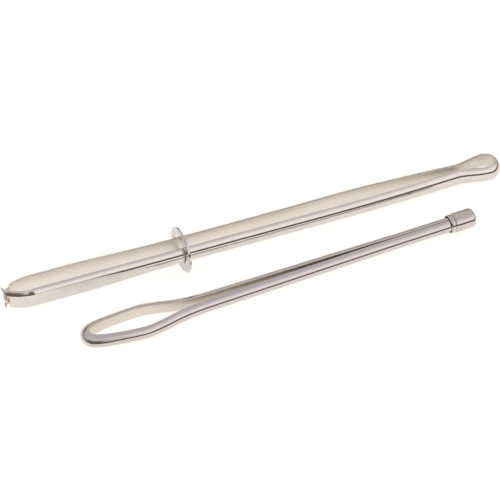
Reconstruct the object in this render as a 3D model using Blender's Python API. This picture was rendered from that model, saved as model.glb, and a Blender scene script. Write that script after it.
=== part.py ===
"""A pair of polished steel bodkins, as they lie on a table.

The clip bodkin is one half-round strip folded into a sprung bow. Its two arms end in flattened jaws with claws
that pass between each other, and a slotted ring slides along the arms to shut them. The wire bodkin is one
half-round wire folded into a long eye, with both of its ends held in a turned cap.

Lengths are in metres. +X runs along the clip bodkin towards its bow, +Y is its far side and +Z is up. The clip
bodkin rests on its bow and on the rim of its ring, and the wire bodkin rests on its eye and on its cap. A
station is a distance along a tool from its folded end, and an offset is a distance sideways from its axis.
"""

import math

import bmesh
import bpy
from mathutils import Matrix, Vector

# The clip bodkin's strip: a half-round wire, hammered flatter and wider at the jaws
CLIP_WIRE_HEIGHT = 0.0039
CLIP_WIRE_THICKNESS = 0.00195
JAW_HEIGHT = 0.0052
JAW_THICKNESS = 0.0011
EDGE_EASE = 0.00015

# Runs along the clip bodkin, one after another from the bow's end
BOW_LENGTH = 0.0115
BELLY_RUN = 0.0315
WAIST_RUN = 0.0403
SPREAD_RUN = 0.0247
GRIP_LENGTH = 0.0104
WIDEN_DELAY = 0.003

# Clear widths between the two arms
BOW_GAP = 0.004
NECK_GAP = 0.0016
BELLY_GAP = 0.003
WAIST_GAP = 0.00275
JAW_GAP = 0.0035
TIP_GAP = 0.0008
NECK_CUT = 0.0002

# The bent jaw tips and their claws
TIP_BEND_RADIUS = 0.0105
CLAW_BEND_RADIUS = 0.003
CLAW_LENGTH = 0.0024
CLAW_SPACING = 0.00055
CLAW_POINT_SHARE = 0.22
CLAW_SLOTS = 4

# The slide ring
RING_THICKNESS = 0.001
RING_RIM_WIDTH = 0.0017
RING_EDGE_ROUND = 0.00015
RING_SIDE_PLAY = 0.0005
RING_TOP_PLAY = 0.0002

# The wire bodkin's wire and its eye
WIRE_HEIGHT = 0.00345
WIRE_THICKNESS = 0.00172
EYE_LENGTH = 0.0285
EYE_GAP = 0.0052
CROWN_RADIUS = 0.0011
CROWN_THICKNESS = 0.0021
CROWN_RUN = 0.009
EYE_DRIFT = 0.00095
SHANK_LENGTH = 0.0617
SHANK_GAP = 0.0013
LEG_END_GAP = 0.0003

# The wire bodkin's cap
CAP_LENGTH = 0.0068
CAP_WALL = 0.00035
CAP_FIT = 0.00015
CAP_END_WALL = 0.0008
CAP_END_ROUND = 0.0008
CAP_MOUTH_WALL = 0.00015
CAP_LIP_LENGTH = 0.0009
CAP_LIP_STEP = 0.00006
CAP_GROOVE_WIDTH = 0.0004
CAP_GROOVE_DEPTH = 0.00015
LEG_END_CLEARANCE = 0.0003

# How the two tools lie beside each other
TOOL_SPACING = 0.0135
CAP_SETBACK = 0.0141

# One overrun serves every cut, and one short step finds every slope
CUT_OVERRUN = 0.002
SLOPE_STEP = 0.00001

# Shapes and counts without a length
ROUND_POWER = 2.0
JAW_POWER = 4.0
ARC_STEPS = 10
CROWN_STEPS = 8
BOW_STEPS = 6
ARM_STEPS = 30
TIP_STEPS = 6
CLAW_STEPS = 5
RIM_STEPS = 56
SLOT_END_STEPS = 12
CAP_STEPS = 40
ROUND_STEPS = 5
SMOOTH_ANGLE = math.radians(35)

# Half of the eye's clear width along its side, from the crown to the shank
EYE_SIDE_SHARES = (
    (0.15, 0.62),
    (0.27, 0.83),
    (0.39, 0.96),
    (0.50, 1.00),
    (0.63, 0.79),
    (0.75, 0.515),
    (0.87, 0.335),
)
EYE_FLARE = math.radians(22)
LEGS_MEET_SHARE = 0.8
EYE_SPLINE_STEPS = 3

# Places along the clip bodkin
BELLY_STATION = BOW_LENGTH + BELLY_RUN
RING_STATION = BELLY_STATION + WAIST_RUN
WIDEN_STATION = RING_STATION + WIDEN_DELAY
GRIP_STATION = RING_STATION + SPREAD_RUN
TIP_STATION = GRIP_STATION + GRIP_LENGTH
CROWN_STATION = CLIP_WIRE_THICKNESS + BOW_GAP / 2
TIP_BEND = math.acos(1 - (JAW_GAP - TIP_GAP) / 2 / TIP_BEND_RADIUS)
CLAW_ROOT_STATION = TIP_STATION + TIP_BEND_RADIUS * math.sin(TIP_BEND)
CLAW_BEND = CLAW_LENGTH / CLAW_BEND_RADIUS
CLAW_REACH = CLAW_BEND_RADIUS * (math.sin(TIP_BEND + CLAW_BEND) - math.sin(TIP_BEND))
CLIP_LENGTH = CLAW_ROOT_STATION + CLAW_REACH

# The ring's slot takes both arms side by side, with play
SLOT_LENGTH = WAIST_GAP + 2 * (CLIP_WIRE_THICKNESS + RING_SIDE_PLAY)
SLOT_HEIGHT = CLIP_WIRE_HEIGHT + 2 * RING_TOP_PLAY
RING_RADIUS = SLOT_LENGTH / 2 + RING_RIM_WIDTH

# The cap's bore takes both legs side by side
CAP_BORE_RADIUS = LEG_END_GAP / 2 + WIRE_THICKNESS + CAP_FIT
CAP_RADIUS = CAP_BORE_RADIUS + CAP_WALL
CAP_STATION = EYE_LENGTH + SHANK_LENGTH
WIRE_LENGTH = CAP_STATION + CAP_LENGTH
LEG_END_STATION = WIRE_LENGTH - CAP_END_WALL - LEG_END_CLEARANCE
CAP_BODY_STATION = CAP_STATION + CAP_LIP_LENGTH + CAP_GROOVE_WIDTH

# Each tool leans a little, because the ring and the cap are thicker than the wire
CLIP_LEAN = math.atan(
    (RING_RADIUS - CLIP_WIRE_HEIGHT / 2) / (RING_STATION - RING_THICKNESS / 2 - CLIP_WIRE_THICKNESS)
)
WIRE_LEAN = math.atan((CAP_RADIUS - WIRE_HEIGHT / 2) / (CAP_BODY_STATION - WIRE_THICKNESS))

# The origin is at the middle of the space that both tools take, on the table
CLIP_X = CLIP_LENGTH * math.cos(CLIP_LEAN) / 2
EYE_NEAR_REACH = EYE_GAP / 2 + WIRE_THICKNESS - EYE_DRIFT / 4
CLIP_Y = (TOOL_SPACING + EYE_NEAR_REACH - RING_RADIUS) / 2
CLIP_Z = CLIP_WIRE_HEIGHT / 2 * math.cos(CLIP_LEAN) - CLIP_WIRE_THICKNESS * math.sin(CLIP_LEAN)
WIRE_X = CLIP_X - CAP_SETBACK - WIRE_LENGTH * math.cos(WIRE_LEAN)
WIRE_Y = CLIP_Y - TOOL_SPACING
WIRE_Z = WIRE_HEIGHT / 2 * math.cos(WIRE_LEAN) - WIRE_THICKNESS * math.sin(WIRE_LEAN)

NEAR, FAR = -1, 1
NICKEL_WARM = (0.78, 0.75, 0.70, 1.0)
NICKEL_GREY = (0.74, 0.73, 0.73, 1.0)
NICKEL_MAUVE = (0.70, 0.67, 0.67, 1.0)


def clear_scene():
    for thing in list(bpy.data.objects):
        bpy.data.objects.remove(thing)


def polished_metal(name, colour, roughness):
    material = bpy.data.materials.new(name)
    material.use_nodes = True
    shader = material.node_tree.nodes["Principled BSDF"]
    shader.inputs["Base Color"].default_value = colour
    shader.inputs["Metallic"].default_value = 1.0
    shader.inputs["Roughness"].default_value = roughness
    material.diffuse_color = colour
    return material


def add_axis(name, place, lean):
    """An empty on a tool's axis, at its folded end. The tool's pieces hang from it."""
    axis = bpy.data.objects.new(name, None)
    axis.location = place
    axis.rotation_euler = (0, lean, 0)
    bpy.context.scene.collection.objects.link(axis)
    return axis


def add_piece(name, shape, axis, place, material):
    """Makes an object of a bmesh and hangs it from its tool's axis."""
    mesh = bpy.data.meshes.new(name)
    bmesh.ops.recalc_face_normals(shape, faces=shape.faces)
    shape.to_mesh(mesh)
    shape.free()
    mesh.materials.append(material)
    mesh.shade_smooth()
    mesh.set_sharp_from_angle(angle=SMOOTH_ANGLE)
    piece = bpy.data.objects.new(name, mesh)
    piece.parent = axis
    piece.location = place
    bpy.context.scene.collection.objects.link(piece)
    return piece


def cut(piece, name, shape):
    """Cuts a bmesh, given in the piece's own space, out of the piece."""
    mesh = bpy.data.meshes.new(name)
    bmesh.ops.recalc_face_normals(shape, faces=shape.faces)
    shape.to_mesh(mesh)
    shape.free()
    cutter = bpy.data.objects.new(name, mesh)
    cutter.parent = piece
    cutter.hide_render = True
    cutter.display_type = "WIRE"
    bpy.context.scene.collection.objects.link(cutter)
    boolean = piece.modifiers.new(name, "BOOLEAN")
    boolean.operation = "DIFFERENCE"
    boolean.solver = "EXACT"
    boolean.object = cutter


def ease(share):
    """Runs from 0 to 1 and is level at both ends."""
    held = min(max(share, 0), 1)
    return held * held * (3 - 2 * held)


def mix(start, end, share):
    return start + (end - start) * share


def half_round(place, outward, height, thickness, power):
    """A ring of points across a strip: flat towards the inside, arched towards outward.

    A power of 2 gives a half circle, and a higher one a flatter face with tighter corners."""
    ring = []
    edge_angle = math.acos(EDGE_EASE / thickness)
    for step in range(ARC_STEPS + 1):
        angle = edge_angle * (2 * step / ARC_STEPS - 1)
        depth = thickness * math.cos(angle) ** (2 / power)
        rise = math.copysign(height / 2 * abs(math.sin(angle)) ** (2 / power), angle)
        ring.append(place + outward * depth + Vector((0, 0, rise)))
    edge = Vector((0, 0, height / 2 - EDGE_EASE))
    return ring + [place + edge, place - edge]


def loft(rings, origin):
    """Bridges each ring of points to the next and closes the two ends."""
    shape = bmesh.new()
    loops = []
    for ring in rings:
        corners = [shape.verts.new(point - origin) for point in ring]
        loops.append([shape.edges.new(pair) for pair in zip(corners, corners[1:] + corners[:1])])
    for first, second in zip(loops, loops[1:]):
        bmesh.ops.bridge_loops(shape, edges=first + second)
    bmesh.ops.holes_fill(shape, edges=loops[0] + loops[-1])
    return shape


def prism(shape, outline, through):
    """Adds a solid to shape: a flat outline pushed along the vector through."""
    face = shape.faces.new([shape.verts.new(point) for point in outline])
    pushed = bmesh.ops.extrude_face_region(shape, geom=[face])["geom"]
    corners = [item for item in pushed if isinstance(item, bmesh.types.BMVert)]
    bmesh.ops.translate(shape, verts=corners, vec=through)


def arm_offset(station):
    """Half the clear width between the arms, from the widest of the bow to the jaws."""
    knots = (
        (CROWN_STATION, BOW_GAP),
        (BOW_LENGTH, NECK_GAP),
        (BELLY_STATION, BELLY_GAP),
        (RING_STATION, WAIST_GAP),
        (GRIP_STATION, JAW_GAP),
    )
    for (start, start_gap), (end, end_gap) in zip(knots, knots[1:]):
        if station <= end:
            return mix(start_gap, end_gap, ease((station - start) / (end - start))) / 2
    return JAW_GAP / 2


def arm_turn(station):
    """The angle between an arm's inner face and the axis."""
    rise = arm_offset(station + SLOPE_STEP) - arm_offset(station - SLOPE_STEP)
    return math.atan2(rise, 2 * SLOPE_STEP)


def strip_ring(station, offset, turn, side, thinning=1):
    """The clip bodkin's section where its inner face stands at station and offset, turned from the axis."""
    hammered = ease((station - WIDEN_STATION) / (GRIP_STATION - WIDEN_STATION))
    place = Vector((-station, side * offset, 0))
    outward = Vector((math.sin(turn), side * math.cos(turn), 0))
    height = mix(CLIP_WIRE_HEIGHT, JAW_HEIGHT, hammered)
    thickness = mix(CLIP_WIRE_THICKNESS, JAW_THICKNESS, hammered) * thinning
    return half_round(place, outward, height, thickness, mix(ROUND_POWER, JAW_POWER, hammered))


def bow_rings():
    """The bow from its near neck, round the crown, to its far neck."""
    half = []
    for step in range(BOW_STEPS):
        station = mix(BOW_LENGTH, CROWN_STATION, step / BOW_STEPS)
        half.append((station, arm_offset(station), arm_turn(station)))
    for step in range(CROWN_STEPS + 1):
        turn = math.pi / 2 * step / CROWN_STEPS
        station = CROWN_STATION - BOW_GAP / 2 * math.sin(turn)
        half.append((station, BOW_GAP / 2 * math.cos(turn), turn))
    half[0] = (BOW_LENGTH, NECK_GAP / 2, 0)
    near = [strip_ring(*place, NEAR) for place in half]
    far = [strip_ring(*place, FAR) for place in reversed(half[:-1])]
    return near + far


def arm_rings(side):
    """One arm from its neck to the points of its claws. The claws' strip tapers, and notches part it later."""
    start = BOW_LENGTH + NECK_CUT
    rings = [strip_ring(start, NECK_GAP / 2, 0, side)]
    for step in range(1, ARM_STEPS):
        station = mix(start, GRIP_STATION, step / ARM_STEPS)
        rings.append(strip_ring(station, arm_offset(station), arm_turn(station), side))
    rings.append(strip_ring(GRIP_STATION, JAW_GAP / 2, 0, side))
    for step in range(TIP_STEPS + 1):
        bend = TIP_BEND * step / TIP_STEPS
        station = TIP_STATION + TIP_BEND_RADIUS * math.sin(bend)
        offset = JAW_GAP / 2 - TIP_BEND_RADIUS * (1 - math.cos(bend))
        rings.append(strip_ring(station, offset, -bend, side))
    for step in range(1, CLAW_STEPS + 1):
        bend = TIP_BEND + CLAW_BEND * step / CLAW_STEPS
        station = CLAW_ROOT_STATION + CLAW_BEND_RADIUS * (math.sin(bend) - math.sin(TIP_BEND))
        offset = TIP_GAP / 2 - CLAW_BEND_RADIUS * (math.cos(TIP_BEND) - math.cos(bend))
        thinning = mix(1, CLAW_POINT_SHARE, step / CLAW_STEPS)
        rings.append(strip_ring(station, offset, -bend, side, thinning))
    return rings


def claw_notches(side, origin):
    """Wedges that leave two pointed claws on a jaw, in every second slot, so that they pass the other jaw's."""
    pitch = JAW_HEIGHT / CLAW_SLOTS
    root_half = (pitch - CLAW_SPACING) / 2
    point_half = root_half * CLAW_POINT_SHARE
    root_x = -CLAW_ROOT_STATION
    point_x = -CLIP_LENGTH - CUT_OVERRUN
    spread = root_half + (point_half - root_half) * (CLIP_LENGTH + CUT_OVERRUN - CLAW_ROOT_STATION) / CLAW_REACH
    first_slot = 0 if side == NEAR else 1
    centres = [JAW_HEIGHT / 2 - pitch * (slot + 0.5) for slot in range(first_slot, CLAW_SLOTS, 2)]
    above = JAW_HEIGHT / 2 + CUT_OVERRUN
    edges = [(above, above)]
    for centre in centres:
        edges.append((centre + root_half, centre + max(spread, 0)))
        edges.append((centre - root_half, centre - max(spread, 0)))
    edges.append((-above, -above))
    reach = JAW_GAP + JAW_THICKNESS + CUT_OVERRUN
    shape = bmesh.new()
    for (top_root, top_point), (low_root, low_point) in zip(edges[::2], edges[1::2]):
        corners = ((root_x, top_root), (point_x, top_point), (point_x, low_point), (root_x, low_root))
        outline = [Vector((x, -reach, z)) - origin for x, z in corners]
        prism(shape, outline, Vector((0, 2 * reach, 0)))
    return shape


def make_bow(axis):
    material = polished_metal("bow_nickel", NICKEL_WARM, 0.16)
    add_piece("bow", loft(bow_rings(), Vector()), axis, (0, 0, 0), material)


def make_arm(axis, side):
    """An arm turns at its neck, about the middle of the strip, where its origin is."""
    name = "near_arm" if side == NEAR else "far_arm"
    hinge = Vector((-BOW_LENGTH, side * (NECK_GAP + CLIP_WIRE_THICKNESS) / 2, 0))
    material = polished_metal(name + "_nickel", NICKEL_WARM, 0.14)
    arm = add_piece(name, loft(arm_rings(side), hinge), axis, hinge, material)
    cut(arm, name + "_notches", claw_notches(side, hinge))


def slot_outline(x):
    """The ring's slot: two half circles joined by straight sides, across the ring."""
    radius = SLOT_HEIGHT / 2
    shift = SLOT_LENGTH / 2 - radius
    outline = []
    for side in (FAR, NEAR):
        for step in range(SLOT_END_STEPS + 1):
            angle = math.pi * (step / SLOT_END_STEPS - 0.5)
            outline.append((x, side * (shift + radius * math.cos(angle)), side * radius * math.sin(angle)))
    return outline


def make_ring(axis):
    disc = bmesh.new()
    across = Matrix.Rotation(math.pi / 2, 4, "Y")
    bmesh.ops.create_cone(
        disc,
        cap_ends=True,
        segments=RIM_STEPS,
        radius1=RING_RADIUS,
        radius2=RING_RADIUS,
        depth=RING_THICKNESS,
        matrix=across,
    )
    material = polished_metal("ring_nickel", NICKEL_GREY, 0.12)
    ring = add_piece("slide_ring", disc, axis, (-RING_STATION, 0, 0), material)
    slot = bmesh.new()
    depth = RING_THICKNESS / 2 + CUT_OVERRUN
    prism(slot, slot_outline(-depth), Vector((2 * depth, 0, 0)))
    cut(ring, "ring_slot", slot)
    bevel = ring.modifiers.new("deburred_edges", "BEVEL")
    bevel.width = RING_EDGE_ROUND
    bevel.segments = 2
    bevel.limit_method = "ANGLE"
    bevel.angle_limit = math.radians(60)


def curve_through(knots, start_slope, steps):
    """Points on a smooth curve through knots, each a station and an offset. It ends level with its last run."""
    slopes = [start_slope]
    for before, after in zip(knots, knots[2:]):
        slopes.append((after[1] - before[1]) / (after[0] - before[0]))
    (last_x, last_y), (end_x, end_y) = knots[-2:]
    slopes.append((end_y - last_y) / (end_x - last_x))
    points = [knots[0]]
    for index, ((x0, y0), (x1, y1)) in enumerate(zip(knots, knots[1:])):
        run = x1 - x0
        for step in range(1, steps + 1):
            t = step / steps
            rise = (1 + 2 * t) * (1 - t) ** 2 * y0 + t * t * (3 - 2 * t) * y1
            lean = t * (1 - t) ** 2 * slopes[index] - t * t * (1 - t) * slopes[index + 1]
            points.append((x0 + run * t, rise + run * lean))
    return points


def eye_side():
    """Half of the wire bodkin's clear width: the crown's arc, the side of the eye, then the narrowing shank."""
    crown_centre = WIRE_THICKNESS + CROWN_RADIUS
    arc = []
    for step in range(CROWN_STEPS + 1):
        angle = mix(math.pi / 2, EYE_FLARE, step / CROWN_STEPS)
        arc.append((crown_centre - CROWN_RADIUS * math.sin(angle), CROWN_RADIUS * math.cos(angle)))
    knots = [arc[-1]]
    knots += [(along * EYE_LENGTH, width * EYE_GAP / 2) for along, width in EYE_SIDE_SHARES]
    knots.append((EYE_LENGTH, SHANK_GAP / 2))
    meet = EYE_LENGTH + SHANK_LENGTH * LEGS_MEET_SHARE
    shank = [(meet, LEG_END_GAP / 2), (LEG_END_STATION, LEG_END_GAP / 2)]
    return arc[:-1] + curve_through(knots, math.tan(EYE_FLARE), EYE_SPLINE_STEPS) + shank


def drifted(station, offset):
    """The eye's end leans to the far side, most at its crown."""
    left = max(1 - station / EYE_LENGTH, 0)
    return Vector((station, offset + EYE_DRIFT * left * left, 0))


def wire_rings():
    """The wire from its near end, round the eye's crown, to its far end, with its flat side inside.

    It is thickest at the crown, where it was bent."""
    half = eye_side()
    near = [drifted(station, -offset) for station, offset in reversed(half)]
    far = [drifted(station, offset) for station, offset in half[1:]]
    path = near + far
    rings = []
    for index, place in enumerate(path):
        before = path[max(index - 1, 0)]
        after = path[min(index + 1, len(path) - 1)]
        heading = (after - before).normalized()
        outward = Vector((-heading.y, heading.x, 0))
        thickness = mix(WIRE_THICKNESS, CROWN_THICKNESS, ease(1 - place.x / CROWN_RUN))
        rings.append(half_round(place, outward, WIRE_HEIGHT, thickness, ROUND_POWER))
    return rings


def make_wire(axis):
    material = polished_metal("eye_wire_nickel", NICKEL_MAUVE, 0.14)
    add_piece("eye_wire", loft(wire_rings(), Vector()), axis, (0, 0, 0), material)


def cap_profile():
    """Half of the cap's lengthwise section, from the middle of its closed end to the bottom of its bore."""
    shoulder = CAP_LENGTH - CAP_END_ROUND
    profile = [(CAP_LENGTH, 0)]
    for step in range(ROUND_STEPS + 1):
        angle = math.pi / 2 * step / ROUND_STEPS
        radius = CAP_RADIUS - CAP_END_ROUND * (1 - math.sin(angle))
        profile.append((shoulder + CAP_END_ROUND * math.cos(angle), radius))
    groove_end = CAP_LIP_LENGTH + CAP_GROOVE_WIDTH
    groove_middle = CAP_LIP_LENGTH + CAP_GROOVE_WIDTH / 2
    lip_radius = CAP_RADIUS - CAP_LIP_STEP
    profile += [
        (groove_end, CAP_RADIUS),
        (groove_middle, CAP_RADIUS - CAP_GROOVE_DEPTH),
        (CAP_LIP_LENGTH, lip_radius),
        (0, CAP_BORE_RADIUS + CAP_MOUTH_WALL),
        (0, CAP_BORE_RADIUS),
        (CAP_LENGTH - CAP_END_WALL, CAP_BORE_RADIUS),
        (CAP_LENGTH - CAP_END_WALL, 0),
    ]
    return profile


def make_cap(axis):
    shape = bmesh.new()
    corners = [shape.verts.new((x, radius, 0)) for x, radius in cap_profile()]
    edges = [shape.edges.new(pair) for pair in zip(corners, corners[1:])]
    bmesh.ops.spin(
        shape,
        geom=corners + edges,
        cent=(0, 0, 0),
        axis=(1, 0, 0),
        angle=math.tau,
        steps=CAP_STEPS,
        use_merge=True,
    )
    bmesh.ops.remove_doubles(shape, verts=shape.verts, dist=SLOPE_STEP)
    material = polished_metal("cap_nickel", NICKEL_MAUVE, 0.15)
    add_piece("end_cap", shape, axis, (CAP_STATION, 0, 0), material)


def build():
    clear_scene()
    clip = add_axis("clip_bodkin_axis", (CLIP_X, CLIP_Y, CLIP_Z), CLIP_LEAN)
    make_bow(clip)
    for side in (NEAR, FAR):
        make_arm(clip, side)
    make_ring(clip)
    wire = add_axis("wire_bodkin_axis", (WIRE_X, WIRE_Y, WIRE_Z), -WIRE_LEAN)
    make_wire(wire)
    make_cap(wire)


build()
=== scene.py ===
import math

import bmesh
import bpy
from mathutils import Matrix, Vector


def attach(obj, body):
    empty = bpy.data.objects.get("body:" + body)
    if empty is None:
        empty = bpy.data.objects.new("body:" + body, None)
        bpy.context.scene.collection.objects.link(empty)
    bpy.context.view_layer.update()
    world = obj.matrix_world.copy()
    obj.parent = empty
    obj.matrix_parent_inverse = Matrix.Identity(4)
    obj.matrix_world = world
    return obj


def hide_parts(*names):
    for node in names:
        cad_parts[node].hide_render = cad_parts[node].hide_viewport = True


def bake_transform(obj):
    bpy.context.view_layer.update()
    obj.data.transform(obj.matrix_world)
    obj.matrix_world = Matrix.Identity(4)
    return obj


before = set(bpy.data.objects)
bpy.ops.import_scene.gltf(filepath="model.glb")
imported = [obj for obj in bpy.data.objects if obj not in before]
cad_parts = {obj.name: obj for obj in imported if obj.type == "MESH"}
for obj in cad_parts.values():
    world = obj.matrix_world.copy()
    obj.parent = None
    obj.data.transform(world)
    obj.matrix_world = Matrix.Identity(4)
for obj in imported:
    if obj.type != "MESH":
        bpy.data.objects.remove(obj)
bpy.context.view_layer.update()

# Lengths are in metres. Each tool is made along its own axis and then laid in its place: the clip bodkin
# runs from its bow towards -X, and the wire bodkin from its eye towards +X. A station is a distance along a
# tool from its folded end, and an offset is a distance sideways from its axis.

# The clip bodkin's strip: a half-round wire, hammered flatter and wider at the jaws
CLIP_WIRE_HEIGHT = 0.0039
CLIP_WIRE_THICKNESS = 0.00195
JAW_HEIGHT = 0.0052
JAW_THICKNESS = 0.00125

# The strip's section: a shallow arch above, which is set further in at the near tip. The far arm is thicker.
STRIP_THICKNESS = 0.00165
STRIP_ARC_RADIUS = 0.00248
CLIP_CORNER = 0.0001
JAW_CORNER = 0.0002
CORNER_SHARE = 0.25
INNER_BULGE = 0.00012
TIP_LEAN = 0.00042
TIP_LEAN_RUN = 0.0012
FAR_SWELL = 0.00032
FAR_SWELL_RUN = 0.005
ARCH_END = math.radians(88)

# Runs along the clip bodkin, one after another from the bow's end
BOW_LENGTH = 0.0115
BELLY_RUN = 0.0315
WAIST_RUN = 0.0403
SPREAD_RUN = 0.0247
GRIP_LENGTH = 0.0104

# How far the bow reaches past its station, and how far past the ring the strip starts to widen
BOW_REACH = 0.0004
WIDEN_DELAY = 0.003

# Clear widths between the two arms
BOW_GAP = 0.004
NECK_GAP = 0.0016
BELLY_GAP = 0.003
WAIST_GAP = 0.00275
JAW_GAP = 0.0035
TIP_GAP = 0.0011

# The bent jaw tips and their claws
TIP_BEND_RADIUS = 0.0105
CLAW_BEND_RADIUS = 0.003
CLAW_LENGTH = 0.0024
CLAW_SPACING = 0.00055
CLAW_POINT_SHARE = 0.22
CLAW_SLOTS = 4
CLAW_EDGE_ROUND = 0.00004
CLAW_EDGE_ANGLE = math.radians(50)
NOTCH_SETBACK = 0.0006
SHORT_CLAW_LENGTH = 0.0009

# The slide ring. Its full thickness sets how the tool leans, and the washer in view is thinner.
RING_THICKNESS = 0.001
WASHER_THICKNESS = 0.0006
RING_RIM_WIDTH = 0.0017
RING_EDGE_ROUND = 0.00016
RING_SIDE_PLAY = 0.0005
RING_TOP_PLAY = 0.0002
RING_TILT = math.radians(3)
SLOT_RAISE = 0.00035

# The wire bodkin's wire and its eye
WIRE_HEIGHT = 0.00345
WIRE_THICKNESS = 0.00172
WIRE_CORNER = 0.00016
WIRE_SWELL = 0.0001
EYE_LENGTH = 0.0285
EYE_GAP = 0.0052
CROWN_RADIUS = 0.0011
CROWN_THICKNESS = 0.0021
CROWN_RUN = 0.009
EYE_DRIFT = 0.00095
EYE_FLARE = math.radians(22)
SHANK_LENGTH = 0.0617
SHANK_GAP = 0.0013
LEG_END_GAP = 0.00012
LEGS_MEET_SHARE = 0.8

# The wire bodkin's cap
CAP_LENGTH = 0.0068
CAP_WALL = 0.00035
CAP_FIT = 0.00024
CAP_END_WALL = 0.0008
CAP_END_ROUND = 0.0011
CAP_MOUTH_WALL = 0.00015
CAP_LIP_LENGTH = 0.0009
CAP_LIP_STEP = 0.00006
CAP_GROOVE_WIDTH = 0.0005
CAP_GROOVE_DEPTH = 0.00028
CAP_EDGE_ROUND = 0.00007
LEG_END_CLEARANCE = 0.0003

# How the two tools lie beside each other
TOOL_SPACING = 0.0135
CAP_SETBACK = 0.0141

# One overrun serves every cut, one short step finds every slope, a held edge keeps a flat's shading flat,
# and points that are nearer than a touch are one
CUT_OVERRUN = 0.002
SLOPE_STEP = 0.00001
HELD_EDGE = 0.00003
TOUCH = 0.000001
SMOOTH_ANGLE = math.radians(38)

# How square each section is, how soon the arms part past the neck, and how closely rings crowd at the bow
ARM_POWER = 2.6
JAW_POWER = 4.0
WIRE_POWER = 1.78
NECK_FLARE_POWER = 0.65
CROWN_CROWDING = 1.7
ARM_CROWDING = 1.2

# Counts
ARCH_STEPS = 44
CORNER_STEPS = 5
BACK_STEPS = 6
CROWN_STEPS = 44
ARM_STEPS = 150
GRIP_STEPS = 12
TIP_STEPS = 16
CLAW_STEPS = 12
RING_SIDE_STEPS = 14
RING_END_STEPS = 34
EYE_SPLINE_STEPS = 14
SHANK_STEPS = 60
CAP_STEPS = 96
ROUND_STEPS = 10

# Half of the eye's clear width along its side, from the crown to the shank
EYE_SIDE_SHARES = (
    (0.15, 0.62),
    (0.27, 0.83),
    (0.39, 0.96),
    (0.50, 1.00),
    (0.63, 0.79),
    (0.75, 0.515),
    (0.87, 0.335),
)

# How far out of its place the far arm lies, at stations along the clip bodkin
FAR_ARM_SHIFTS = (
    (0.0, 0.0),
    (0.023, 0.00025),
    (0.038, 0.0004),
    (0.06, 0.0002),
    (0.0833, 0.0002),
    (0.103, -0.0001),
    (0.125, -0.0001),
)

# Places along the clip bodkin
BELLY_STATION = BOW_LENGTH + BELLY_RUN
RING_STATION = BELLY_STATION + WAIST_RUN
WIDEN_STATION = RING_STATION + WIDEN_DELAY
GRIP_STATION = RING_STATION + SPREAD_RUN
TIP_STATION = GRIP_STATION + GRIP_LENGTH
CROWN_STATION = STRIP_THICKNESS + BOW_GAP / 2 - BOW_REACH
TIP_BEND = math.acos(1 - (JAW_GAP - TIP_GAP) / 2 / TIP_BEND_RADIUS)
CLAW_ROOT_STATION = TIP_STATION + TIP_BEND_RADIUS * math.sin(TIP_BEND)
CLAW_BEND = CLAW_LENGTH / CLAW_BEND_RADIUS
CLAW_REACH = CLAW_BEND_RADIUS * (math.sin(TIP_BEND + CLAW_BEND) - math.sin(TIP_BEND))
CLIP_LENGTH = CLAW_ROOT_STATION + CLAW_REACH

# The ring's slot takes both arms side by side, with play
SLOT_LENGTH = WAIST_GAP + 2 * (CLIP_WIRE_THICKNESS + RING_SIDE_PLAY)
SLOT_HEIGHT = CLIP_WIRE_HEIGHT + 2 * RING_TOP_PLAY
RING_RADIUS = SLOT_LENGTH / 2 + RING_RIM_WIDTH

# The cap's bore takes both legs side by side
CAP_BORE_RADIUS = LEG_END_GAP / 2 + WIRE_THICKNESS + CAP_FIT
CAP_RADIUS = CAP_BORE_RADIUS + CAP_WALL
CAP_STATION = EYE_LENGTH + SHANK_LENGTH
WIRE_LENGTH = CAP_STATION + CAP_LENGTH
LEG_END_STATION = WIRE_LENGTH - CAP_END_WALL - LEG_END_CLEARANCE
CAP_BODY_STATION = CAP_STATION + CAP_LIP_LENGTH + CAP_GROOVE_WIDTH

# Each tool leans a little, because the ring and the cap are thicker than the wire
CLIP_LEAN = math.atan(
    (RING_RADIUS - CLIP_WIRE_HEIGHT / 2) / (RING_STATION - RING_THICKNESS / 2 - CLIP_WIRE_THICKNESS)
)
WIRE_LEAN = math.atan((CAP_RADIUS - WIRE_HEIGHT / 2) / (CAP_BODY_STATION - WIRE_THICKNESS))

# Where each tool's folded end lies
CLIP_X = CLIP_LENGTH * math.cos(CLIP_LEAN) / 2
EYE_NEAR_REACH = EYE_GAP / 2 + WIRE_THICKNESS - EYE_DRIFT / 4
CLIP_Y = (TOOL_SPACING + EYE_NEAR_REACH - RING_RADIUS) / 2
CLIP_Z = CLIP_WIRE_HEIGHT / 2 * math.cos(CLIP_LEAN) - CLIP_WIRE_THICKNESS * math.sin(CLIP_LEAN)
WIRE_X = CLIP_X - CAP_SETBACK - WIRE_LENGTH * math.cos(WIRE_LEAN)
WIRE_Y = CLIP_Y - TOOL_SPACING
WIRE_Z = WIRE_HEIGHT / 2 * math.cos(WIRE_LEAN) - WIRE_THICKNESS * math.sin(WIRE_LEAN)
CLIP_PLACE = Matrix.Translation((CLIP_X, CLIP_Y, CLIP_Z)) @ Matrix.Rotation(CLIP_LEAN, 4, "Y")
WIRE_PLACE = Matrix.Translation((WIRE_X, WIRE_Y, WIRE_Z)) @ Matrix.Rotation(-WIRE_LEAN, 4, "Y")

NEAR, FAR = -1, 1

# The photograph's camera
CAMERA_AZIMUTH = math.radians(-24.179)
CAMERA_ELEVATION = math.radians(51.208)
CAMERA_ROLL = math.radians(2.218)
CAMERA_DISTANCE = 0.3
CAMERA_TARGET = Vector((-0.005473, 0.002007, 0.003))
SENSOR_WIDTH = 36.0
FOCAL_PIXELS = 1296.0
IMAGE_PIXELS = 500
NEAREST_SEEN = 0.001

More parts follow.
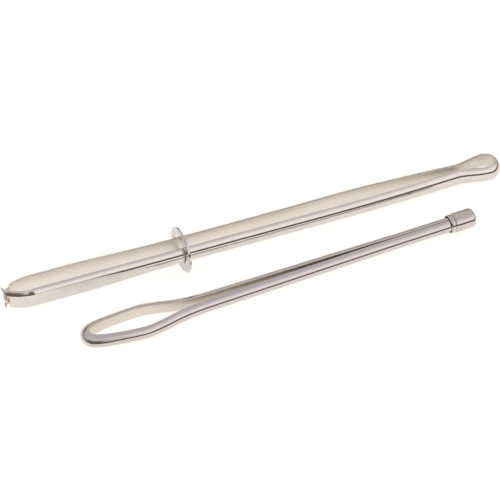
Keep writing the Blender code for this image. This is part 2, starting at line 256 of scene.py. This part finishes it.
# The floor, whose glow shows only to the camera and in reflections
FLOOR_HALF_WIDTH = 1.5
FLOOR_DROP = 0.00001
FLOOR_COLOUR = (0.95, 0.94, 0.90)
FLOOR_GLOW_COLOUR = (1, 0.98, 0.93)
FLOOR_GLOW = 0.62
REFLECTED_GLOW = 0.4

# The studio's colours on each side, from straight down to straight up, with their heights in degrees
NEAR_SIDE = (
    (-90, (0.60, 0.56, 0.50)),
    (-1, (0.14, 0.10, 0.09)),
    (16, (0.13, 0.09, 0.08)),
    (20, (1.08, 0.99, 0.97)),
    (39, (1.08, 0.98, 0.98)),
    (50, (0.90, 0.80, 0.83)),
    (60, (0.70, 0.62, 0.65)),
    (75, (0.60, 0.54, 0.57)),
    (90, (0.60, 0.55, 0.58)),
)
LEFT_SIDE = (
    (-90, (0.60, 0.56, 0.50)),
    (-1, (0.14, 0.10, 0.09)),
    (35, (0.19, 0.155, 0.125)),
    (48, (0.80, 0.74, 0.74)),
    (60, (0.70, 0.62, 0.65)),
    (90, (0.60, 0.55, 0.58)),
)
FAR_SIDE = (
    (-90, (0.60, 0.56, 0.50)),
    (-1, (0.60, 0.56, 0.50)),
    (1, (0.30, 0.27, 0.23)),
    (10, (0.30, 0.27, 0.23)),
    (20, (0.62, 0.59, 0.54)),
    (50, (0.64, 0.61, 0.58)),
    (90, (0.62, 0.58, 0.60)),
)

# Where each side's colours come in, as shares of a direction's level part
FAR_TURN = (-0.6, 0.3)
LEFT_TURN = (-0.1, 0.4)
NEVER_ZERO = 0.001

# The plate's colour on each piece, and a paler, warmer colour on the inner sides of the strip and the wire,
# which is painted light that brightens those inner sides as reflected light would
CLIP_NICKEL = (0.79, 0.76, 0.72)
RING_NICKEL = (0.74, 0.73, 0.73)
WIRE_NICKEL = (0.70, 0.67, 0.67)
CLIP_INSIDE_PAINTED_LIGHT = (0.92, 0.88, 0.83)
WIRE_INSIDE_PAINTED_LIGHT = (0.88, 0.83, 0.77)

# The size of each piece's polishing lines along X, Y and Z
STRIP_GRAIN = (0.012, 0.00012, 0.00012)
RING_GRAIN = (0.0004, 0.0004, 0.0004)
CAP_GRAIN = (0.00012, 0.004, 0.004)

# The plate's roughness and wear, with waves and clouds counted to the metre
PLATE_ROUGHNESS = 0.075
LINE_ROUGHNESS = 0.05
INSIDE_ROUGHNESS = 0.24
LINE_DEPTH = 0.0000012
WAVE_DEPTH = 0.00002
WAVE_SCALE = 160.0
CLOUD_SCALE = 420.0
CLOUD_SHARE = 0.6
CLOUD_RANGE = (0.35, 0.65)
LINE_RANGE = (0.3, 0.7)
ROUGH_RANGE = (0.35, 0.75)
WORN_SHADE = 0.965
FRESH_SHADE = 1.02


class Socket:
    """An output of a shader node. Arithmetic on these adds its Math nodes."""

    def __init__(self, tree, link=None):
        self.tree = tree
        self.link = link

    def node(self, kind, inputs=(), output=0, stops=(), **settings):
        """Adds a node of any kind: its settings and stops come first, then its inputs' values or links."""
        made = self.tree.nodes.new(kind)
        for name, value in settings.items():
            setattr(made, name, value)
        for place, (position, colour) in enumerate(stops):
            marks = made.color_ramp.elements
            mark = marks[place] if place < len(marks) else marks.new(position)
            mark.position = position
            mark.color = (*colour, 1)
        for name, value in dict(inputs).items():
            if isinstance(value, Socket):
                self.tree.links.new(value.link, made.inputs[name])
            else:
                made.inputs[name].default_value = value
        return Socket(self.tree, made.outputs[output] if made.outputs else None)

    def beside(self, output):
        """Another output of the same node."""
        return Socket(self.tree, self.link.node.outputs[output])

    def maths(self, operation, first, second=0.0):
        return self.node("ShaderNodeMath", {0: first, 1: second}, operation=operation)

    def __add__(self, other):
        return self.maths("ADD", self, other)

    def __sub__(self, other):
        return self.maths("SUBTRACT", self, other)

    def __mul__(self, other):
        return self.maths("MULTIPLY", self, other)

    def __truediv__(self, other):
        return self.maths("DIVIDE", self, other)

    def __rsub__(self, other):
        return self.maths("SUBTRACT", other, self)

    __radd__ = __add__
    __rmul__ = __mul__

    def rise(self, low, high):
        """0 below low, 1 above high, and smooth between."""
        limits = {"Value": self, "From Min": low, "From Max": high}
        return self.node("ShaderNodeMapRange", limits, interpolation_type="SMOOTHSTEP")

    def blend(self, low, high):
        """The colour low where this is 0 and the colour high where it is 1."""
        ends = [(*colour, 1) if isinstance(colour, tuple) else colour for colour in (low, high)]
        inputs = {0: self, 6: ends[0], 7: ends[1]}
        return self.node("ShaderNodeMix", inputs, output=2, data_type="RGBA")


def ease(share):
    """Runs from 0 to 1 and is level at both ends."""
    held = min(max(share, 0), 1)
    return held * held * (3 - 2 * held)


def mix(start, end, share):
    return start + (end - start) * share


def half_round(height, thickness, power, corner):
    """The outline across a strip, as depths from its inner side and rises from its middle.

    A power of 2 gives a half circle or oval, and a higher one a flatter face with tighter shoulders. The
    inner side bulges a little."""
    top = height / 2 * (1 - (corner / thickness) ** power) ** (1 / power)
    limit = math.acos((corner / thickness) ** (power / 2))
    outline = []
    for step in range(ARCH_STEPS + 1):
        angle = limit * (2 * step / ARCH_STEPS - 1)
        rise = math.copysign(height / 2 * abs(math.sin(angle)) ** (2 / power), angle)
        outline.append((thickness * math.cos(angle) ** (2 / power), rise))
    back = []
    for step in range(1, CORNER_STEPS + 1):
        turn = math.pi / 2 * step / CORNER_STEPS
        back.append((corner * (1 - math.sin(turn)), top - corner * (1 - math.cos(turn))))
    for step in range(BACK_STEPS):
        share = 1 - step / BACK_STEPS
        back.append((INNER_BULGE * (share * share - 1), (top - corner - HELD_EDGE) * share))
    middle = [(-INNER_BULGE, 0)]
    return outline + back + middle + [(depth, -rise) for depth, rise in reversed(back)]


def arched_strip(height, thickness, power, lean, corner):
    """The clip bodkin's section: a shallow arch above, cut flat where it is hammered, and fuller below."""
    centre = STRIP_THICKNESS - STRIP_ARC_RADIUS - lean
    inner_radius = STRIP_ARC_RADIUS - corner
    lift = (height - CLIP_WIRE_HEIGHT) / 2
    start = math.asin((corner - centre) / inner_radius)
    end = min(math.asin(min((thickness - centre) / STRIP_ARC_RADIUS, 1)), ARCH_END)
    corner_rise = inner_radius * math.cos(start) + lift
    outline = []
    for step in range(CORNER_STEPS):
        turn = mix(-math.pi / 2, start, step / CORNER_STEPS)
        outline.append((corner * (1 + math.sin(turn)), corner_rise + corner * math.cos(turn)))
    for step in range(ARCH_STEPS // 2 + 1):
        turn = mix(start, end, step / (ARCH_STEPS // 2))
        outline.append((centre + STRIP_ARC_RADIUS * math.sin(turn), STRIP_ARC_RADIUS * math.cos(turn) + lift))
    outline.append((thickness, outline[-1][1] - HELD_EDGE))
    round_strip = half_round(height, thickness, power, corner)
    face, round_corners = round_strip[: ARCH_STEPS // 2 + 1], round_strip[ARCH_STEPS + 1 :]
    outline += reversed(face)
    outline += [(depth, -rise) for depth, rise in round_corners[:CORNER_STEPS]]
    bottom, top = outline[-1][1] + HELD_EDGE, corner_rise - HELD_EDGE
    for step in range(2 * BACK_STEPS + 1):
        share = step / (2 * BACK_STEPS)
        outline.append((-4 * INNER_BULGE * share * (1 - share), mix(bottom, top, share)))
    return outline


def stand(outline, place, outward):
    """Stands an outline across a strip, its flat side at place and its arch towards outward."""
    return [place + outward * depth + Vector((0, 0, rise)) for depth, rise in outline]


def loft(rings, closed=False, outline=()):
    """Bridges each ring of points to the next, and the last to the first or closes both ends.

    A strip's outline marks its inner side in the attribute "inside"."""
    shape = bmesh.new()
    inside = shape.verts.layers.float.new("inside")
    loops = []
    for ring in rings:
        corners = [shape.verts.new(point) for point in ring]
        for corner, (depth, _) in zip(corners, outline):
            corner[inside] = float(depth < TOUCH)
        loops.append([shape.edges.new(pair) for pair in zip(corners, corners[1:] + corners[:1])])
    following = loops[1:] + loops[:1] if closed else loops[1:]
    for first, second in zip(loops, following):
        bmesh.ops.bridge_loops(shape, edges=first + second)
    if not closed:
        bmesh.ops.holes_fill(shape, edges=loops[0] + loops[-1])
    return shape


def add_piece(name, shape, place, material):
    """Makes a piece of a bmesh, with its place in its mesh."""
    bmesh.ops.transform(shape, matrix=place, verts=shape.verts)
    bmesh.ops.recalc_face_normals(shape, faces=shape.faces)
    mesh = bpy.data.meshes.new(name)
    shape.to_mesh(mesh)
    shape.free()
    mesh.materials.append(material)
    mesh.shade_smooth()
    mesh.set_sharp_from_angle(angle=SMOOTH_ANGLE)
    piece = bpy.data.objects.new(name, mesh)
    bpy.context.scene.collection.objects.link(piece)
    return piece


def eased_through(knots, station, power=1):
    """The value at station between knots, each a station and a value.

    A power below 1 makes each stretch start quicker."""
    for (start, start_value), (end, end_value) in zip(knots, knots[1:]):
        if station <= end:
            share = max(station - start, 0) / (end - start)
            return mix(start_value, end_value, ease(share**power))
    return knots[-1][1]


def arm_offset(station):
    """Half the clear width between the arms, from the widest of the bow to the jaws."""
    knots = (
        (CROWN_STATION, BOW_GAP / 2),
        (BOW_LENGTH, NECK_GAP / 2),
        (BELLY_STATION, BELLY_GAP / 2),
        (RING_STATION, WAIST_GAP / 2),
        (GRIP_STATION, JAW_GAP / 2),
    )
    power = NECK_FLARE_POWER if BOW_LENGTH < station < BELLY_STATION else 1
    return eased_through(knots, station, power)


def arm_turn(station):
    """The angle between an arm's inner face and the axis."""
    rise = arm_offset(station + SLOPE_STEP) - arm_offset(station - SLOPE_STEP)
    return math.atan2(rise, 2 * SLOPE_STEP)


def strip_ring(station, offset, turn, side, thinning=1):
    """The strip's outline where its inner face stands at station and offset, turned from the axis."""
    hammered = ease((station - WIDEN_STATION) / (GRIP_STATION - WIDEN_STATION))
    height = mix(CLIP_WIRE_HEIGHT, JAW_HEIGHT, hammered)
    thickness = mix(STRIP_THICKNESS, JAW_THICKNESS, hammered) * thinning
    power = mix(ARM_POWER, JAW_POWER, hammered)
    corner = min(mix(CLIP_CORNER, JAW_CORNER, hammered), thickness * CORNER_SHARE)
    outward = Vector((math.sin(turn), side * math.cos(turn), 0))
    if side == NEAR:
        lean = TIP_LEAN * ease((station - TIP_STATION) / TIP_LEAN_RUN)
        outline = arched_strip(height, thickness, power, lean, corner)
        return stand(outline, Vector((-station, -offset, 0)), outward)
    swell = FAR_SWELL * ease(station / FAR_SWELL_RUN) * (1 - hammered)
    shift = eased_through(FAR_ARM_SHIFTS, station) - swell
    outline = arched_strip(height, thickness + swell, power, -swell, corner)
    return stand(outline, Vector((-station, offset + shift, 0)), outward)


def half_strip_rings(side):
    """Half of the strip from the middle of the bow to the points of its claws."""
    rings = []
    for step in range(CROWN_STEPS):
        turn = math.pi / 2 * (1 - (step / CROWN_STEPS) ** CROWN_CROWDING)
        station = CROWN_STATION - BOW_GAP / 2 * math.sin(turn)
        rings.append(strip_ring(station, BOW_GAP / 2 * math.cos(turn), turn, side))
    for step in range(ARM_STEPS):
        station = mix(CROWN_STATION, GRIP_STATION, (step / ARM_STEPS) ** ARM_CROWDING)
        rings.append(strip_ring(station, arm_offset(station), arm_turn(station), side))
    for step in range(GRIP_STEPS):
        station = mix(GRIP_STATION, TIP_STATION, step / GRIP_STEPS)
        rings.append(strip_ring(station, JAW_GAP / 2, 0, side))
    for step in range(TIP_STEPS + 1):
        bend = TIP_BEND * step / TIP_STEPS
        station = TIP_STATION + TIP_BEND_RADIUS * math.sin(bend)
        offset = JAW_GAP / 2 - TIP_BEND_RADIUS * (1 - math.cos(bend))
        rings.append(strip_ring(station, offset, -bend, side))
    for step in range(1, CLAW_STEPS + 1):
        bend = TIP_BEND + CLAW_BEND * step / CLAW_STEPS
        station = CLAW_ROOT_STATION + CLAW_BEND_RADIUS * (math.sin(bend) - math.sin(TIP_BEND))
        offset = TIP_GAP / 2 - CLAW_BEND_RADIUS * (math.cos(TIP_BEND) - math.cos(bend))
        thinning = mix(1, CLAW_POINT_SHARE, step / CLAW_STEPS)
        rings.append(strip_ring(station, offset, -bend, side, thinning))
    return rings


def prism(shape, outline, through):
    """Adds a solid to shape: a flat outline pushed along the vector through."""
    face = shape.faces.new([shape.verts.new(point) for point in outline])
    pushed = bmesh.ops.extrude_face_region(shape, geom=[face])["geom"]
    corners = [item for item in pushed if isinstance(item, bmesh.types.BMVert)]
    bmesh.ops.translate(shape, verts=corners, vec=through)


def claw_notches(side):
    """Wedges that leave two pointed claws on a jaw, in every second slot, to pass the other jaw's claws."""
    pitch = JAW_HEIGHT / CLAW_SLOTS
    root_half = (pitch - CLAW_SPACING) / 2
    point_half = root_half * CLAW_POINT_SHARE
    root_x = -CLAW_ROOT_STATION - (NOTCH_SETBACK if side == NEAR else 0)
    point_x = -CLIP_LENGTH - CUT_OVERRUN
    overrun_share = (CLIP_LENGTH + CUT_OVERRUN - CLAW_ROOT_STATION) / CLAW_REACH
    end_half = max(mix(root_half, point_half, overrun_share), 0)
    above = JAW_HEIGHT / 2 + CUT_OVERRUN
    edges = [(above, above)]
    for slot in range(0 if side == NEAR else 1, CLAW_SLOTS, 2):
        centre = JAW_HEIGHT / 2 - pitch * (slot + 0.5)
        edges.append((centre + root_half, centre + end_half))
        edges.append((centre - root_half, centre - end_half))
    edges.append((-above, -above))
    reach = JAW_GAP + JAW_THICKNESS + CUT_OVERRUN
    shape = bmesh.new()
    for (top_root, top_point), (low_root, low_point) in zip(edges[::2], edges[1::2]):
        corners = ((root_x, top_root), (point_x, top_point), (point_x, low_point), (root_x, low_root))
        prism(shape, [Vector((x, -reach, z)) for x, z in corners], Vector((0, 2 * reach, 0)))
    return shape


def short_claw_end():
    """The space that the near jaw's lower claw leaves free, because it is short."""
    start = -CLAW_ROOT_STATION - NOTCH_SETBACK - SHORT_CLAW_LENGTH
    end = -CLIP_LENGTH - CUT_OVERRUN
    low = -JAW_HEIGHT / 2 - CUT_OVERRUN
    shape = bmesh.new()
    corners = ((start, 0), (end, 0), (end, low), (start, low))
    prism(shape, [Vector((x, -JAW_GAP, z)) for x, z in corners], Vector((0, 2 * JAW_GAP, 0)))
    return shape


def cut(piece, shape, place):
    """Cuts a bmesh out of a piece."""
    cutter = add_piece(piece.name + "_notches", shape, place, piece.data.materials[0])
    boolean = piece.modifiers.new("notches", "BOOLEAN")
    boolean.operation = "DIFFERENCE"
    boolean.solver = "EXACT"
    boolean.object = cutter
    evaluated = piece.evaluated_get(bpy.context.evaluated_depsgraph_get())
    mesh = bpy.data.meshes.new_from_object(evaluated)
    piece.modifiers.clear()
    piece.data = mesh
    bpy.data.objects.remove(cutter)


def round_claws(piece):
    """Rounds the cut edges of the claws."""
    shape = bmesh.new()
    shape.from_mesh(piece.data)
    own = CLIP_PLACE.inverted()
    edges = []
    for edge in shape.edges:
        beyond = all((own @ corner.co).x < -CLAW_ROOT_STATION - SLOPE_STEP for corner in edge.verts)
        if beyond and len(edge.link_faces) == 2 and edge.calc_face_angle() > CLAW_EDGE_ANGLE:
            edges.append(edge)
    bmesh.ops.bevel(
        shape,
        geom=edges,
        offset=CLAW_EDGE_ROUND,
        offset_type="OFFSET",
        segments=2,
        profile=0.5,
        affect="EDGES",
    )
    shape.to_mesh(piece.data)
    shape.free()


def make_half_strip(side, material):
    """The visible half of the clip bodkin's strip."""
    name, arm = ("near_strip", "near_arm") if side == NEAR else ("far_strip", "far_arm")
    outline = arched_strip(CLIP_WIRE_HEIGHT, STRIP_THICKNESS, ARM_POWER, 0, CLIP_CORNER)
    piece = add_piece(name, loft(half_strip_rings(side), outline=outline), CLIP_PLACE, material)
    cut(piece, claw_notches(side), CLIP_PLACE)
    if side == NEAR:
        cut(piece, short_claw_end(), CLIP_PLACE)
    round_claws(piece)
    piece.data.set_sharp_from_angle(angle=SMOOTH_ANGLE)
    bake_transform(piece)
    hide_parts("bow", arm)


def slot_edge():
    """Places round the ring's slot, each with the direction that points out of the slot there."""
    radius = (SLOT_HEIGHT + SLOT_RAISE) / 2
    shift = SLOT_LENGTH / 2 - radius
    raised = Vector((0, 0, SLOT_RAISE / 2))
    edge = []
    for side in (FAR, NEAR):
        for step in range(RING_END_STEPS):
            angle = math.pi * (step / RING_END_STEPS - 0.5)
            outward = Vector((0, side * math.cos(angle), side * math.sin(angle)))
            edge.append((raised + Vector((0, side * shift, 0)) + outward * radius, outward))
        for step in range(RING_SIDE_STEPS):
            across = mix(shift, -shift, step / RING_SIDE_STEPS)
            edge.append((raised + Vector((0, side * across, side * radius)), Vector((0, 0, side))))
    return edge


def rounded_edge(edge, outward):
    """Points from the washer's front face round its edge to its back face, with a held point on each face."""
    flat = WASHER_THICKNESS / 2
    centre = edge - outward * RING_EDGE_ROUND
    held = centre - outward * HELD_EDGE
    points = [held + Vector((-flat, 0, 0))]
    for face in (-1, 1):
        for step in range(CORNER_STEPS + 1):
            share = step / CORNER_STEPS
            turn = math.pi / 2 * (share if face < 0 else 1 - share)
            along = face * (flat - RING_EDGE_ROUND * (1 - math.cos(turn)))
            points.append(centre + outward * RING_EDGE_ROUND * math.sin(turn) + Vector((along, 0, 0)))
    return points + [held + Vector((flat, 0, 0))]


def ring_sections():
    """The washer's rounded section at each place round its slot, from the slot's edge to the rim and back."""
    sections = []
    for place, outward in slot_edge():
        rim_outward = place.normalized()
        rim = rounded_edge(rim_outward * RING_RADIUS, rim_outward)
        sections.append(rounded_edge(place, -outward) + rim[::-1])
    return sections


def make_ring(material):
    place = CLIP_PLACE @ Matrix.Translation((-RING_STATION, 0, 0)) @ Matrix.Rotation(RING_TILT, 4, "Z")
    ring = add_piece("fine_slide_ring", loft(ring_sections(), closed=True), place, material)
    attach(ring, "slide_ring")
    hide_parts("slide_ring")


def curve_through(knots, start_slope, steps):
    """Points on a smooth curve through knots, each a station and an offset, from a given slope.

    It ends along the straight line between its last two knots."""
    slopes = [start_slope]
    for before, after in zip(knots, knots[2:]):
        slopes.append((after[1] - before[1]) / (after[0] - before[0]))
    (last_x, last_y), (end_x, end_y) = knots[-2:]
    slopes.append((end_y - last_y) / (end_x - last_x))
    points = [knots[0]]
    for index, ((x0, y0), (x1, y1)) in enumerate(zip(knots, knots[1:])):
        run = x1 - x0
        for step in range(1, steps + 1):
            t = step / steps
            rise = (1 + 2 * t) * (1 - t) ** 2 * y0 + t * t * (3 - 2 * t) * y1
            lean = t * (1 - t) ** 2 * slopes[index] - t * t * (1 - t) * slopes[index + 1]
            points.append((x0 + run * t, rise + run * lean))
    return points


def eye_side():
    """Half of the wire bodkin's clear width: the crown's arc, the eye's side, then the narrowing shank."""
    crown_centre = WIRE_THICKNESS + CROWN_RADIUS
    arc = []
    for step in range(CROWN_STEPS + 1):
        angle = mix(math.pi / 2, EYE_FLARE, step / CROWN_STEPS)
        arc.append((crown_centre - CROWN_RADIUS * math.sin(angle), CROWN_RADIUS * math.cos(angle)))
    meet = EYE_LENGTH + SHANK_LENGTH * LEGS_MEET_SHARE
    knots = [arc[-1]]
    knots += [(along * EYE_LENGTH, width * EYE_GAP / 2) for along, width in EYE_SIDE_SHARES]
    knots.append((EYE_LENGTH, SHANK_GAP / 2))
    side = curve_through(knots, math.tan(EYE_FLARE), EYE_SPLINE_STEPS)
    shank = []
    for step in range(1, SHANK_STEPS + 1):
        station = mix(EYE_LENGTH, meet, step / SHANK_STEPS)
        shank.append((station, mix(SHANK_GAP, LEG_END_GAP, step / SHANK_STEPS) / 2))
    return arc[:-1] + side + shank + [(LEG_END_STATION, LEG_END_GAP / 2)]


def drifted(station, offset):
    """The eye's end leans to the far side, most at its crown."""
    crownwards = max(1 - station / EYE_LENGTH, 0)
    return Vector((station, offset + EYE_DRIFT * crownwards * crownwards, 0))


def wire_rings():
    """The wire from its near end, round the eye's crown, to its far end, with its flat side inside."""
    half = eye_side()
    near = [drifted(station, -offset) for station, offset in reversed(half)]
    far = [drifted(station, offset) for station, offset in half[1:]]
    path = near + far
    rings = []
    for index, place in enumerate(path):
        before = path[max(index - 1, 0)]
        after = path[min(index + 1, len(path) - 1)]
        heading = (after - before).normalized()
        thickness = mix(WIRE_THICKNESS, CROWN_THICKNESS, ease(1 - place.x / CROWN_RUN))
        outline = half_round(WIRE_HEIGHT + WIRE_SWELL, thickness + WIRE_SWELL, WIRE_POWER, WIRE_CORNER)
        rings.append(stand(outline, place, Vector((-heading.y, heading.x, 0))))
    return rings


def make_wire(material):
    outline = half_round(WIRE_HEIGHT, WIRE_THICKNESS, WIRE_POWER, WIRE_CORNER)
    wire = add_piece("fine_eye_wire", loft(wire_rings(), outline=outline), WIRE_PLACE, material)
    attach(wire, "wire_bodkin")
    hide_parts("eye_wire")


def cap_profile():
    """Half of the cap's lengthwise section, from the middle of its closed end to the bottom of its bore."""
    shoulder = CAP_LENGTH - CAP_END_ROUND
    profile = [(CAP_LENGTH, 0), (CAP_LENGTH, CAP_RADIUS - CAP_END_ROUND - HELD_EDGE)]
    for step in range(ROUND_STEPS + 1):
        angle = math.pi / 2 * step / ROUND_STEPS
        radius = CAP_RADIUS - CAP_END_ROUND * (1 - math.sin(angle))
        profile.append((shoulder + CAP_END_ROUND * math.cos(angle), radius))
    profile.append((shoulder - HELD_EDGE, CAP_RADIUS))
    groove_end = CAP_LIP_LENGTH + CAP_GROOVE_WIDTH
    profile.append((groove_end + HELD_EDGE, CAP_RADIUS))
    for step in range(ROUND_STEPS + 1):
        share = step / ROUND_STEPS
        depth = CAP_GROOVE_DEPTH * math.sin(math.pi * share) ** 2
        radius = CAP_RADIUS - depth - CAP_LIP_STEP * ease(share)
        profile.append((mix(groove_end, CAP_LIP_LENGTH, share), radius))
    lip_outer = CAP_BORE_RADIUS + CAP_MOUTH_WALL
    lip_middle = CAP_BORE_RADIUS + CAP_MOUTH_WALL / 2
    profile.append((CAP_EDGE_ROUND, lip_outer))
    profile.append((0, lip_middle))
    profile.append((CAP_EDGE_ROUND, CAP_BORE_RADIUS))
    profile.append((CAP_LENGTH - CAP_END_WALL, CAP_BORE_RADIUS))
    profile.append((CAP_LENGTH - CAP_END_WALL, 0))
    return profile


def make_cap(material):
    shape = bmesh.new()
    corners = [shape.verts.new((x, radius, 0)) for x, radius in cap_profile()]
    edges = [shape.edges.new(pair) for pair in zip(corners, corners[1:])]
    bmesh.ops.spin(
        shape,
        geom=corners + edges,
        cent=(0, 0, 0),
        axis=(1, 0, 0),
        angle=math.tau,
        steps=CAP_STEPS,
        use_merge=True,
    )
    bmesh.ops.remove_doubles(shape, verts=shape.verts, dist=TOUCH)
    place = WIRE_PLACE @ Matrix.Translation((CAP_STATION, 0, 0))
    cap = add_piece("fine_end_cap", shape, place, material)
    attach(cap, "wire_bodkin")
    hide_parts("end_cap")


def polished_nickel(name, colour, grain, inside_painted_light=None):
    """Nickel plate over polished steel. The inner side of a folded strip is less polished, and its paler
    colour there is painted light.
    """
    material = bpy.data.materials.new(name)
    material.use_nodes = True
    tree = material.node_tree
    tree.nodes.clear()
    start = Socket(tree)
    place = start.node("ShaderNodeTexCoord", output="Object")
    scale = tuple(1 / size for size in grain)
    stretched = start.node("ShaderNodeMapping", {"Vector": place, "Scale": scale})
    lines = start.node("ShaderNodeTexNoise", {"Vector": stretched, "Scale": 1.0, "Detail": 3.0})
    waves = start.node("ShaderNodeTexNoise", {"Vector": place, "Scale": WAVE_SCALE, "Detail": 1.0})
    clouds = start.node("ShaderNodeTexNoise", {"Vector": place, "Scale": CLOUD_SCALE, "Detail": 2.0})
    worn = tuple(channel * WORN_SHADE for channel in colour)
    fresh = tuple(channel * FRESH_SHADE for channel in colour)
    tone = clouds.rise(*CLOUD_RANGE) * CLOUD_SHARE + lines.rise(*LINE_RANGE) * (1 - CLOUD_SHARE)
    height = lines * LINE_DEPTH + waves * WAVE_DEPTH
    bump = start.node("ShaderNodeBump", {"Height": height, "Strength": 1.0, "Distance": 1.0}, output="Normal")
    plate = tone.blend(worn, fresh)
    roughness = PLATE_ROUGHNESS + lines.rise(*ROUGH_RANGE) * LINE_ROUGHNESS
    if inside_painted_light:
        inside = start.node("ShaderNodeAttribute", output="Fac", attribute_name="inside")
        # The inner side's paler, warmer colour is painted light standing in for reflected light; its added
        # roughness is real
        plate = inside.blend(plate, inside_painted_light)
        roughness = roughness + inside * INSIDE_ROUGHNESS
    shader = start.node(
        "ShaderNodeBsdfPrincipled",
        {
            "Base Color": plate,
            "Metallic": 1.0,
            "Roughness": roughness,
            "Normal": bump,
        },
    )
    start.node("ShaderNodeOutputMaterial", {"Surface": shader})
    return material


def light_side(upward, colours):
    """A side of the studio. upward is 0 straight down, 0.5 at the horizon and 1 straight up."""
    stops = [((math.sin(math.radians(degrees)) + 1) / 2, colour) for degrees, colour in colours]
    return upward.node("ShaderNodeValToRGB", {"Fac": upward}, stops=stops)


def light_studio():
    """A soft studio: on the near side a bright panel above a dark gap, on the left a dark panel."""
    world = bpy.data.worlds.new("studio")
    bpy.context.scene.world = world
    world.use_nodes = True
    tree = world.node_tree
    tree.nodes.clear()
    start = Socket(tree)
    direction = start.node("ShaderNodeTexCoord", output="Generated")
    along_x = start.node("ShaderNodeSeparateXYZ", {"Vector": direction}, output="X")
    along_y = along_x.beside("Y")
    upward = (along_x.beside("Z") + 1) * 0.5
    level = start.maths("SQRT", along_x * along_x + along_y * along_y) + NEVER_ZERO
    near = light_side(upward, NEAR_SIDE)
    left = light_side(upward, LEFT_SIDE)
    far = light_side(upward, FAR_SIDE)
    leftward = (0 - along_x) / level
    farward = along_y / level
    studio = farward.rise(*FAR_TURN).blend(leftward.rise(*LEFT_TURN).blend(near, left), far)
    room = start.node("ShaderNodeBackground", {"Color": studio, "Strength": 1.0})
    white = start.node("ShaderNodeBackground", {"Color": (1, 1, 1, 1), "Strength": 1.0})
    seen = start.node("ShaderNodeLightPath", output="Is Camera Ray")
    both = start.node("ShaderNodeMixShader", {0: seen, 1: room, 2: white})
    start.node("ShaderNodeOutputWorld", {"Surface": both})


def lay_floor():
    """A white floor that keeps a light shadow."""
    material = bpy.data.materials.new("white_floor")
    material.use_nodes = True
    tree = material.node_tree
    tree.nodes.clear()
    start = Socket(tree)
    camera_ray = start.node("ShaderNodeLightPath", output="Is Camera Ray")
    reflected = camera_ray.beside("Is Glossy Ray") + camera_ray.beside("Is Transmission Ray")
    shader = start.node(
        "ShaderNodeBsdfPrincipled",
        {
            "Base Color": (*FLOOR_COLOUR, 1),
            "Roughness": 1.0,
            "Specular IOR Level": 0.0,
            "Emission Color": (*FLOOR_GLOW_COLOUR, 1),
            "Emission Strength": camera_ray * FLOOR_GLOW + reflected * REFLECTED_GLOW,
        },
    )
    start.node("ShaderNodeOutputMaterial", {"Surface": shader})
    shape = bmesh.new()
    bmesh.ops.create_grid(shape, x_segments=1, y_segments=1, size=FLOOR_HALF_WIDTH)
    floor = add_piece("floor", shape, Matrix.Translation((0, 0, -FLOOR_DROP)), material)


def place_camera():
    """The photograph's camera, found from the tools' outlines."""
    level = math.cos(CAMERA_ELEVATION)
    forward = Vector(
        (-math.sin(CAMERA_AZIMUTH) * level, math.cos(CAMERA_AZIMUTH) * level, -math.sin(CAMERA_ELEVATION))
    )
    right = Vector((math.cos(CAMERA_AZIMUTH), math.sin(CAMERA_AZIMUTH), 0))
    up = right.cross(forward)
    rolled_right = right * math.cos(CAMERA_ROLL) + up * math.sin(CAMERA_ROLL)
    rolled_up = up * math.cos(CAMERA_ROLL) - right * math.sin(CAMERA_ROLL)
    turn = Matrix((rolled_right, rolled_up, -forward)).transposed().to_4x4()
    data = bpy.data.cameras.new("camera")
    data.sensor_width = SENSOR_WIDTH
    data.lens = FOCAL_PIXELS * SENSOR_WIDTH / IMAGE_PIXELS
    data.clip_start = NEAREST_SEEN
    camera = bpy.data.objects.new("camera", data)
    camera.matrix_world = Matrix.Translation(CAMERA_TARGET - forward * CAMERA_DISTANCE) @ turn
    bpy.context.scene.collection.objects.link(camera)
    bpy.context.scene.camera = camera


def dress():
    clip = polished_nickel("clip_nickel_plate", CLIP_NICKEL, STRIP_GRAIN, CLIP_INSIDE_PAINTED_LIGHT)
    for side in (NEAR, FAR):
        make_half_strip(side, clip)
    make_ring(polished_nickel("ring_nickel_plate", RING_NICKEL, RING_GRAIN))
    make_wire(polished_nickel("wire_nickel_plate", WIRE_NICKEL, STRIP_GRAIN, WIRE_INSIDE_PAINTED_LIGHT))
    make_cap(polished_nickel("cap_nickel_plate", WIRE_NICKEL, CAP_GRAIN))


bpy.context.scene.view_settings.view_transform = "Standard"
place_camera()
light_studio()
lay_floor()
dress()
